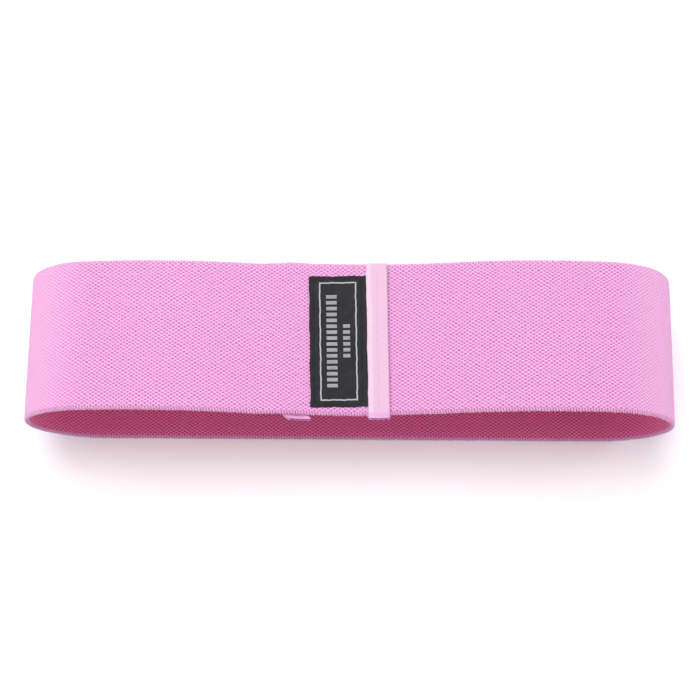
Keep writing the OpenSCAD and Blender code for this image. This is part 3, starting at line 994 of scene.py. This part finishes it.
def build_label():
    """The label, with its border and blocks."""
    loop, f, colours = the_band()
    half = loop.label_length / 2
    y = np.linspace(-half, half, LABEL_POINTS[0])[:, None]
    top = np.linspace(loop.label_left, loop.label_right, LABEL_POINTS[1])
    s = np.concatenate([top, top[::-1]])
    upper = np.arange(len(s)) < len(top)
    n = np.where(upper, label_height(loop, f, s, loop.label_y + y), loop.face_n + LABEL_GAP)
    # The cut ends and the long edges waver a little
    across = loop.label_y + y + LABEL_END_WAVER * waves(s, LABEL_ENDS) * (y / half) ** 5
    side = (s - (loop.label_left + loop.label_right) / 2) / (f.label_width / 2)
    edge = np.where(side < 0, waves(y, LABEL_LEFT), waves(y, LABEL_RIGHT) * 0.4)
    along = s + LABEL_EDGE_WAVER * edge * np.abs(side) ** 3
    points = loop.sewn_on(along, across, n)
    mesh = new_mesh("label", points.reshape(-1, 3), grid_tube(len(y), len(s), True))
    add_vector(mesh, "weave", np.stack([along, across, np.zeros_like(along)], 2))
    smooth(mesh)
    mesh.materials.append(label_material(colours))
    new_piece("sewn_label", mesh, "label", "label")
    material = yarn_material("figure_yarn", colours.white, dimmed(colours.white, 0.72),
                             twist=0.0006)
    build_border(loop, f, material)
    build_marks(loop, f, material)


def on_label(loop, f, s, y, lift):
    y = y + loop.label_y
    return loop.sewn_on(s, y, label_height(loop, f, s, y) + lift)


def build_border(loop, f, material):
    """Three yarns side by side make the line of the border."""
    s0, s1 = loop.border
    half = loop.border_y
    yarns = 3
    radius = f.border_line / yarns / 2 * 1.1
    chains = []
    for k in range(yarns):
        inset = f.border_line * (k + 0.5) / yarns
        y = np.linspace(-half + inset, half - inset, BORDER_POINTS[0])
        s = np.linspace(s0 + inset, s1 - inset, BORDER_POINTS[1])
        sway = BORDER_WAVER * waves(y, BORDER_SIDE)
        bow = BORDER_WAVER * waves(s, BORDER_END)
        for along, across in ((s0 + inset + sway, y), (s1 - inset + sway, y),
                              (s, -half + inset + bow), (s, half - inset + bow)):
            chains.append(on_label(loop, f, along, across, radius * 0.35))
    new_piece("label_frame", threads(chains, radius, FIGURE_SIDES, material), "label_white",
              "label_border")


def build_marks(loop, f, material):
    """Two rows of blocks. Each block is a few yarns that float side by side across it."""
    start = loop.border[0] + f.border_line + f.row_inset
    room = loop.border[1] - f.border_line - f.row_inset - start - f.row_gap
    long_mark = room * LONG_SHARE
    second = start + long_mark + f.row_gap
    yarns = 4
    radius = f.mark_length / yarns / 2 * 0.8
    lift = radius * (0.15 + 0.35 * np.sin(math.pi * np.linspace(0, 1, MARK_POINTS)))
    chains = []
    rng = np.random.default_rng(BLOCK_SEED)
    for left, width, spare in ((start, long_mark, f.long_row_room),
                               (second, room - long_mark, f.short_row_room)):
        free = 2 * (loop.border_y - f.border_line - spare)
        count = math.floor((free + f.mark_step - f.mark_length) / f.mark_step)
        for i in range(count):
            middle = (i - (count - 1) / 2) * f.mark_step
            for k in range(yarns):
                y = middle + f.mark_length * ((k + 0.5) / yarns - 0.5)
                trim = rng.uniform(0, 0.00018, 2)
                s = np.linspace(left + trim[0], left + width - trim[1], MARK_POINTS)
                chains.append(on_label(loop, f, s, np.full(MARK_POINTS, y), lift))
    new_piece("label_blocks", threads(chains, radius, FIGURE_SIDES, material), "label_white",
              "label_marks")


def build_label_threads():
    """The needle and the bobbin thread round the label."""
    loop, f, colours = the_band()
    s0, s1 = loop.sewn
    steps = round((s1 - s0) / (f.stitch_ribs * f.rib))
    between = [s0 + j * (s1 - s0) / steps for j in range(1, steps)]
    rows = [loop.label_y + y for y in loop.sewn_rows]
    ring = [(s0, y) for y in rows] + [(s, rows[-1]) for s in between]
    ring += [(s1, y) for y in reversed(rows)] + [(s, rows[0]) for s in reversed(between)]
    ring.append(ring[0])
    material = yarn_material("label_thread", dimmed(colours.black, 2.2), colours.black,
                             twist=0.0006, sheen=0.1)
    on_top = [(s, y, float(label_height(loop, f, s, y))) for s, y in ring]
    behind = [(s, y, loop.back_n) for s, y in ring]
    for run, holes, side in (("label_needle", on_top, 1), ("label_bobbin", behind, -1)):
        sew(run, loop.sewn_on, holes, LABEL_BITE, side, f.label_thread / 2, material,
            "label_thread")


# ---------- stage ----------
def add_camera():
    data = bpy.data.cameras.new("camera")
    data.lens = CAMERA_LENS
    data.sensor_width = CAMERA_SENSOR
    data.clip_start = 0.01
    data.clip_end = 20
    camera = new_object("camera", data)
    tilt = math.radians(CAMERA_ELEVATION)
    roll = math.radians(CAMERA_ROLL)
    look = Vector((0, math.cos(tilt), -math.sin(tilt)))
    up = Vector((0, math.sin(tilt), math.cos(tilt)))
    right = Vector((1, 0, 0))
    turned_up = up * math.cos(roll) - right * math.sin(roll)
    turned_right = right * math.cos(roll) + up * math.sin(roll)
    turn = Matrix((turned_right, turned_up, -look)).transposed().to_4x4()
    camera.matrix_world = Matrix.Translation(
        Vector(CAMERA_TARGET) - look * CAMERA_DISTANCE) @ turn
    bpy.context.scene.camera = camera


def add_light(name, place, target, size, energy, tint):
    data = bpy.data.lights.new(name, "AREA")
    data.shape = "SQUARE"
    data.size = size
    data.energy = energy
    data.color = tint
    light = new_object(name, data)
    light.location = place
    aim = Vector(target) - Vector(place)
    light.rotation_mode = "QUATERNION"
    light.rotation_quaternion = aim.to_track_quat("-Z", "Y")


def add_floor(colours):
    line = np.linspace(-FLOOR_HALF_SIDE, FLOOR_HALF_SIDE, FLOOR_STEPS + 1)
    x, y = np.meshgrid(line, line, indexing="ij")
    points = np.stack([x, y, np.full_like(x, FLOOR_Z)], 2).reshape(-1, 3)
    row = len(line)
    faces = [
        (i * row + j, (i + 1) * row + j, (i + 1) * row + j + 1, i * row + j + 1)
        for i in range(FLOOR_STEPS) for j in range(FLOOR_STEPS)
    ]
    mesh = new_mesh("floor", points, faces)
    mesh.materials.append(floor_material(colours))
    new_object("floor", mesh)


def add_sky():
    """A sky that lights the band softly but looks pale to the camera."""
    world = bpy.data.worlds.new("studio")
    world.use_nodes = True
    k = Nodes(world.node_tree)
    seen = k.add("ShaderNodeLightPath", {})["Is Camera Ray"]
    strength = k.add("ShaderNodeMapRange", {
        "Value": seen, "To Min": SKY_LIGHT, "To Max": SKY_SEEN})["Result"]
    sky = world.node_tree.nodes["Background"]
    k.put(sky.inputs["Color"], SKY_TINT)
    k.put(sky.inputs["Strength"], strength)
    bpy.context.scene.world = world


def build_stage():
    """The floor, the sky, the lights and the camera."""
    add_floor(the_band()[2])
    add_sky()
    for light in LIGHTS:
        add_light(*light)
    view = bpy.context.scene.view_settings
    view.view_transform = "Standard"
    view.look = "None"
    add_camera()


# ---------- a last step, which only reads the band's sizes ---
def declare_sheets():
    loop, f, _ = the_band()


# ---------- operators ----------
class BandOperator:
    """Shared by every operator of the band."""

    bl_options = {"REGISTER", "UNDO"}


class BAND_OT_stage(BandOperator, bpy.types.Operator):
    """Add the floor, the lights and the camera"""

    bl_idname = "band.add_stage"
    bl_label = "Stage"

    def execute(self, context):
        build_stage()
        return {"FINISHED"}


class BAND_OT_webbing(BandOperator, bpy.types.Operator):
    """Weave the strip of webbing with its relief"""

    bl_idname = "band.add_webbing"
    bl_label = "Webbing"

    def execute(self, context):
        build_webbing()
        return {"FINISHED"}


class BAND_OT_selvages(BandOperator, bpy.types.Operator):
    """Add the yarn that turns round each rim of the webbing"""

    bl_idname = "band.add_selvages"
    bl_label = "Selvages"

    def execute(self, context):
        build_selvages()
        return {"FINISHED"}


class BAND_OT_rubber(BandOperator, bpy.types.Operator):
    """Add the rubber threads inside the webbing"""

    bl_idname = "band.add_rubber_threads"
    bl_label = "Rubber threads"

    def execute(self, context):
        build_rubber()
        return {"FINISHED"}


class BAND_OT_bindings(BandOperator, bpy.types.Operator):
    """Fold a tape over each end of the webbing"""

    bl_idname = "band.add_bindings"
    bl_label = "Bindings"

    def execute(self, context):
        build_bindings()
        return {"FINISHED"}


class BAND_OT_seams(BandOperator, bpy.types.Operator):
    """Sew the two seams of the lap joint"""

    bl_idname = "band.add_seams"
    bl_label = "Seam threads"

    def execute(self, context):
        build_seams()
        return {"FINISHED"}


class BAND_OT_label(BandOperator, bpy.types.Operator):
    """Add the label with its border and blocks"""

    bl_idname = "band.add_label"
    bl_label = "Label"

    def execute(self, context):
        build_label()
        return {"FINISHED"}


class BAND_OT_label_threads(BandOperator, bpy.types.Operator):
    """Sew the label on"""

    bl_idname = "band.add_label_threads"
    bl_label = "Label threads"

    def execute(self, context):
        build_label_threads()
        return {"FINISHED"}


OPERATORS = (
    BAND_OT_stage,
    BAND_OT_webbing,
    BAND_OT_selvages,
    BAND_OT_rubber,
    BAND_OT_bindings,
    BAND_OT_seams,
    BAND_OT_label,
    BAND_OT_label_threads,
)


class BAND_PT_panel(bpy.types.Panel):
    """Sizes, colours and one button for each group of pieces"""

    bl_idname = "BAND_PT_panel"
    bl_label = "Resistance Band"
    bl_space_type = "VIEW_3D"
    bl_region_type = "UI"
    bl_category = "Band"

    def draw(self, context):
        for group in ("band_loop", "band_fabric", "band_colours"):
            holder = getattr(context.scene, group)
            box = self.layout.box()
            for name in holder.bl_rna.properties.keys():
                if name not in ("rna_type", "name"):
                    box.prop(holder, name)
        for operator in OPERATORS:
            self.layout.operator(operator.bl_idname)


CLASSES = (BandLoopSizes, BandFabricSizes, BandColours, *OPERATORS, BAND_PT_panel)


def register():
    for item in CLASSES:
        bpy.utils.register_class(item)
    bpy.types.Scene.band_loop = PointerProperty(type=BandLoopSizes)
    bpy.types.Scene.band_fabric = PointerProperty(type=BandFabricSizes)
    bpy.types.Scene.band_colours = PointerProperty(type=BandColours)


def unregister():
    del bpy.types.Scene.band_colours
    del bpy.types.Scene.band_fabric
    del bpy.types.Scene.band_loop
    for item in reversed(CLASSES):
        bpy.utils.unregister_class(item)


def main():
    register()
    for operator in OPERATORS:
        group, name = operator.bl_idname.split(".")
        getattr(getattr(bpy.ops, group), name)()
    declare_sheets()


if __name__ == "__main__":
    main()
